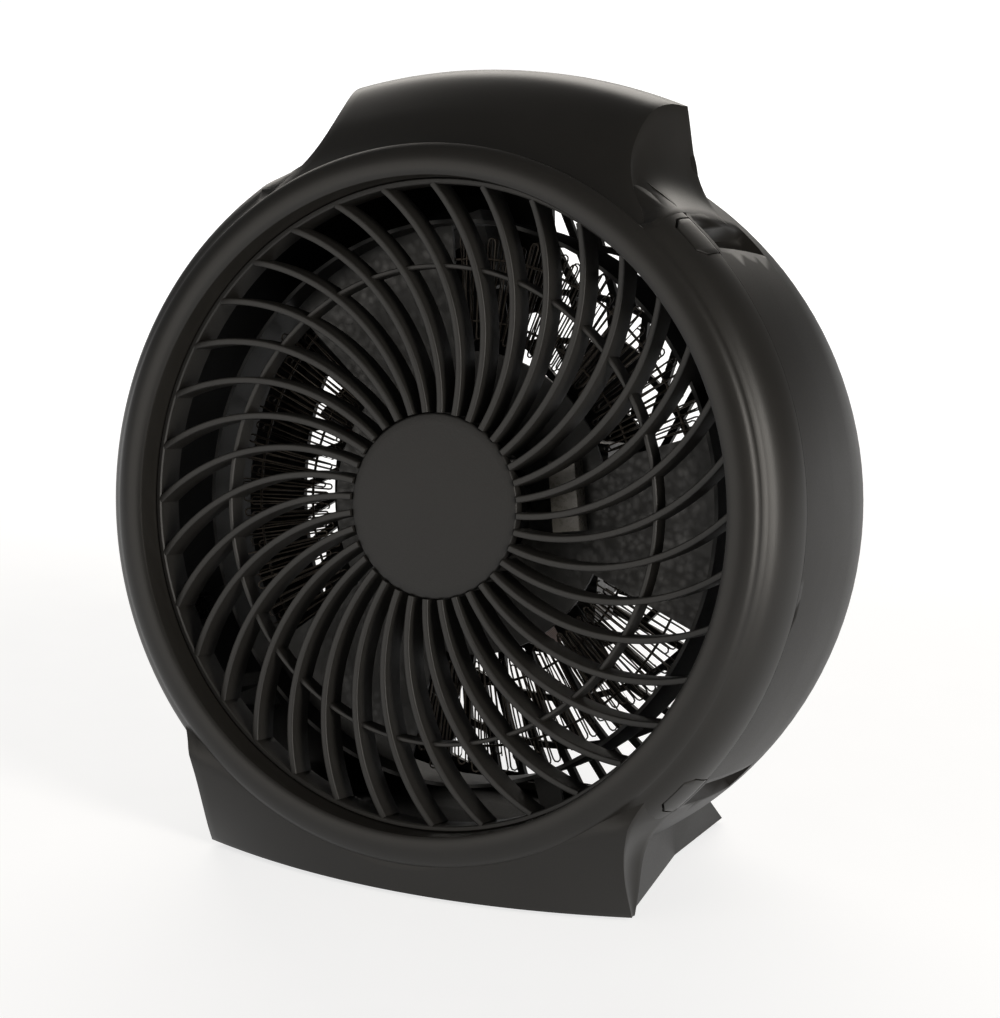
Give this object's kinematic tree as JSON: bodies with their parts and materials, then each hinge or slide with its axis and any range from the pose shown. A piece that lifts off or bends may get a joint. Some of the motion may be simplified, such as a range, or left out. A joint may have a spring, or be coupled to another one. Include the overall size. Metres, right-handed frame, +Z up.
{
  "type": "fan heater",
  "caption": "Round desk fan heater leaning back on a flared base, with a swirl-vane front grille, a handle block on top, zigzag heating ribbons, an axial fan and two rear knobs.",
  "frame": {"origin": "on the floor under the middle of the part, at the bottom centre of its bounding box", "axes": "+Z up from the floor, -Y towards the front grille, +X to the right seen from the front"},
  "size_m": [0.238, 0.1458, 0.2473],
  "materials": {
    "shell": "satin, fine grain",
    "grille": "satin, fine grain",
    "cap": "fine grain",
    "steel": "zinc plated sheet",
    "mica": "pressed mica sheet",
    "nichrome": "oxidised resistance ribbon",
    "cutout": "nickel plated case",
    "fuse": "woven glass sleeve",
    "ceramic": "glazed ceramic",
    "screw": "zinc plated",
    "fan": "satin",
    "lamination": "stacked sheet edges",
    "winding": "enamelled copper wire",
    "bronze": "oil-filled sintered bronze",
    "switch": "moulded",
    "knob": "satin",
    "lens": "translucent lens",
    "bush": "soft moulding",
    "brown_lead": "silicone insulation",
    "blue_lead": "silicone insulation",
    "rubber": "matt"
  },
  "bodies": {
    "housing": {"blue_lead": "blue_lead", "brown_lead": "brown_lead", "front_bearing": "bronze", "front_bracket": "steel", "front_grille": "grille", "front_shell": "shell", "handle_back": "shell", "heater_duct": "steel", "heater_screws": "screw", "heating_band_1": "nichrome", "heating_band_2": "nichrome", "heating_band_3": "nichrome", "hub_cap": "cap", "inlet_bush": "bush", "lamp_lens": "lens", "mica_plate": "mica", "motor_coil": "winding", "motor_screws": "screw", "motor_stator": "lamination", "rear_bearing": "bronze", "rear_bracket": "steel", "rear_grille": "shell", "rear_shell": "shell", "rubber_feet": "rubber", "selector_body": "switch", "terminal_block": "ceramic", "thermal_cutout": "cutout", "thermal_fuse": "fuse", "thermostat_body": "switch"},
    "rotor": {"fan_blade": "fan", "fan_clip": "screw", "motor_shaft": "screw", "motor_rotor": "steel"},
    "thermostat_dial": {"thermostat_knob": "knob", "thermostat_spindle": "switch"},
    "selector_dial": {"selector_knob": "knob", "selector_spindle": "switch"}
  },
  "joints": [
    {"name": "fan_spin", "type": "hinge", "parent": "housing", "child": "rotor", "pos_m": [0, 0.00047, 0.11056], "axis": [0, -0.9842, 0.1771], "continuous": true},
    {"name": "thermostat_turn", "type": "hinge", "parent": "housing", "child": "thermostat_dial", "pos_m": [-0.03109, 0.06429, 0.17727], "axis": [0, 0.9842, -0.1771], "range_deg": [0, 270]},
    {"name": "selector_turn", "type": "hinge", "parent": "housing", "child": "selector_dial", "pos_m": [-0.06715, 0.0593, 0.14954], "axis": [0, 0.9842, -0.1771], "range_deg": [0, 135]}
  ]
}
